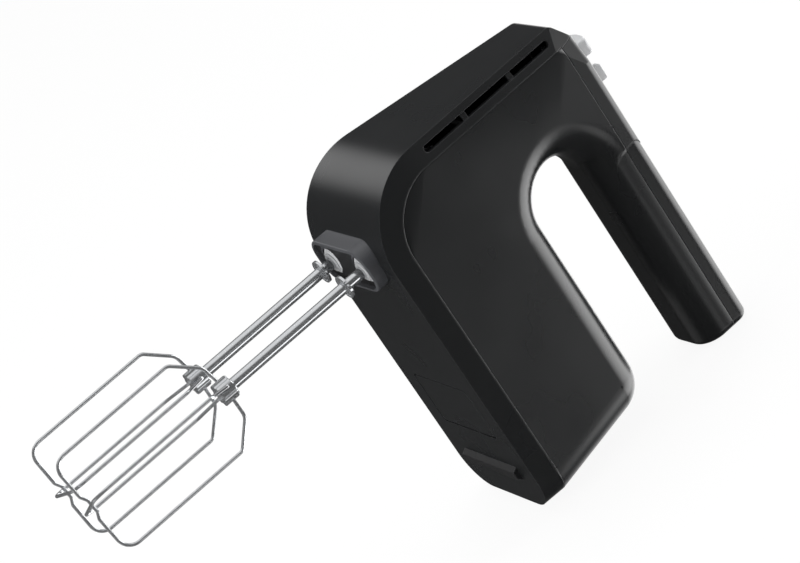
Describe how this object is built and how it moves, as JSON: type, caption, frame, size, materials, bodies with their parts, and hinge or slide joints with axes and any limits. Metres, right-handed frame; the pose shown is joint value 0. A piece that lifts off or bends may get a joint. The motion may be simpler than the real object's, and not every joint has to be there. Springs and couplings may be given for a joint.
{
  "type": "hand mixer",
  "caption": "Handheld kitchen mixer with a loop handle, eject and speed keys, and a pair of meshed wire beaters that turn in opposite directions.",
  "frame": {"origin": "middle of the rubber heel foot's face, on the surface that the mixer stands on", "axes": "+Z from the heel to the nose, +Y from the beaters to the handle, +X to the mixer's left; the mixer stands on its heel"},
  "size_m": [0.0896, 0.3493, 0.2011],
  "materials": {
    "shell_black": "satin black ABS",
    "trim_grey": "satin dark grey ABS",
    "rubber_black": "soft black rubber",
    "key_grey": "light grey satin ABS",
    "socket_grey": "light grey acetal",
    "gear_case": "glass-filled nylon",
    "gear_white": "natural acetal",
    "bronze": "sintered bronze",
    "steel_bright": "ground steel",
    "motor_zinc": "zinc-plated steel",
    "cap_black": "black phenolic",
    "magnet": "sintered ferrite",
    "core_steel": "laminated steel",
    "copper": "enamelled copper",
    "carbon": "carbon",
    "fan_white": "natural nylon",
    "cell_sleeve": "blue shrink sleeve",
    "nickel": "nickel strip",
    "board_green": "solder-masked laminate",
    "screw_zinc": "zinc-plated steel",
    "chrome_wire": "polished chrome plate",
    "hub_metal": "polished chrome plate on cast zinc"
  },
  "bodies": {
    "body": {"front_shell": "shell_black", "main_housing": "shell_black", "handle_cover": "shell_black", "nose_bezel": "trim_grey", "underside_hatch": "shell_black", "foot_bar": "rubber_black", "heel_foot": "rubber_black", "gearbox_frame": "gear_case", "gearbox_cover": "gear_case", "spindle_bushes": "bronze", "motor_bearings": "bronze", "motor_can": "motor_zinc", "motor_end_cap": "cap_black", "motor_magnets": "magnet", "brushes": "carbon", "battery_holder": "cap_black", "battery_cells": "cell_sleeve", "cell_links": "nickel", "charge_board": "board_green", "control_board": "board_green", "charge_socket": "cap_black", "speed_switch": "cap_black", "housing_screws": "screw_zinc", "gearbox_screws": "screw_zinc", "cover_screw": "screw_zinc"},
    "motor_rotor": {"motor_shaft": "steel_bright", "armature_core": "core_steel", "windings": "copper", "commutator": "copper", "cooling_fan": "fan_white"},
    "left_drive": {"left_spindle": "socket_grey", "left_worm_wheel": "gear_white"},
    "right_drive": {"right_spindle": "socket_grey", "right_worm_wheel": "gear_white"},
    "ejector": {"eject_button": "key_grey", "eject_rod": "steel_bright", "ejector_plate": "gear_case", "eject_spring": "steel_bright"},
    "left_pin": {"left_ejector_pin": "steel_bright"},
    "right_pin": {"right_ejector_pin": "steel_bright"},
    "left_beater": {"left_beater_shaft": "chrome_wire", "left_beater_collar": "chrome_wire", "left_beater_hub": "hub_metal", "left_loop_a": "chrome_wire", "left_loop_b": "chrome_wire"},
    "right_beater": {"right_beater_shaft": "chrome_wire", "right_beater_collar": "chrome_wire", "right_beater_hub": "hub_metal", "right_loop_a": "chrome_wire", "right_loop_b": "chrome_wire"},
    "slider": {"speed_slider": "key_grey"}
  },
  "joints": [
    {"name": "motor_spin", "type": "hinge", "parent": "body", "child": "motor_rotor", "pos_m": [0, 0.026, 0.1605], "axis": [0, 0, 1], "continuous": true},
    {"name": "left_spindle_spin", "type": "hinge", "parent": "body", "child": "left_drive", "pos_m": [0.017, 0, 0.1605], "axis": [0, 1, 0], "continuous": true},
    {"name": "right_spindle_spin", "type": "hinge", "parent": "body", "child": "right_drive", "pos_m": [-0.017, 0, 0.1605], "axis": [0, 1, 0], "continuous": true},
    {"name": "eject_press", "type": "slide", "parent": "body", "child": "ejector", "axis": [0, -1, 0], "range_m": [0, 0.006], "stiffness_N_per_m": 600, "springref_m": -0.002, "deforming": ["eject_spring"]},
    {"name": "left_pin_slide", "type": "slide", "parent": "left_drive", "child": "left_pin", "axis": [0, -1, 0], "range_m": [0, 0.006]},
    {"name": "right_pin_slide", "type": "slide", "parent": "right_drive", "child": "right_pin", "axis": [0, -1, 0], "range_m": [0, 0.006]},
    {"name": "left_beater_slide", "type": "slide", "parent": "left_pin", "child": "left_beater", "axis": [0, -1, 0], "range_m": [0, 0.045]},
    {"name": "right_beater_slide", "type": "slide", "parent": "right_pin", "child": "right_beater", "axis": [0, -1, 0], "range_m": [0, 0.045]},
    {"name": "speed_slide", "type": "slide", "parent": "body", "child": "slider", "axis": [0, 0, -1], "range_m": [0, 0.02]}
  ],
  "couplings": [
    {"joint": "left_spindle_spin", "follows": "motor_spin", "ratio": -0.05},
    {"joint": "right_spindle_spin", "follows": "motor_spin", "ratio": 0.05},
    {"joint": "left_pin_slide", "follows": "eject_press", "ratio": 1},
    {"joint": "right_pin_slide", "follows": "eject_press", "ratio": 1}
  ]
}
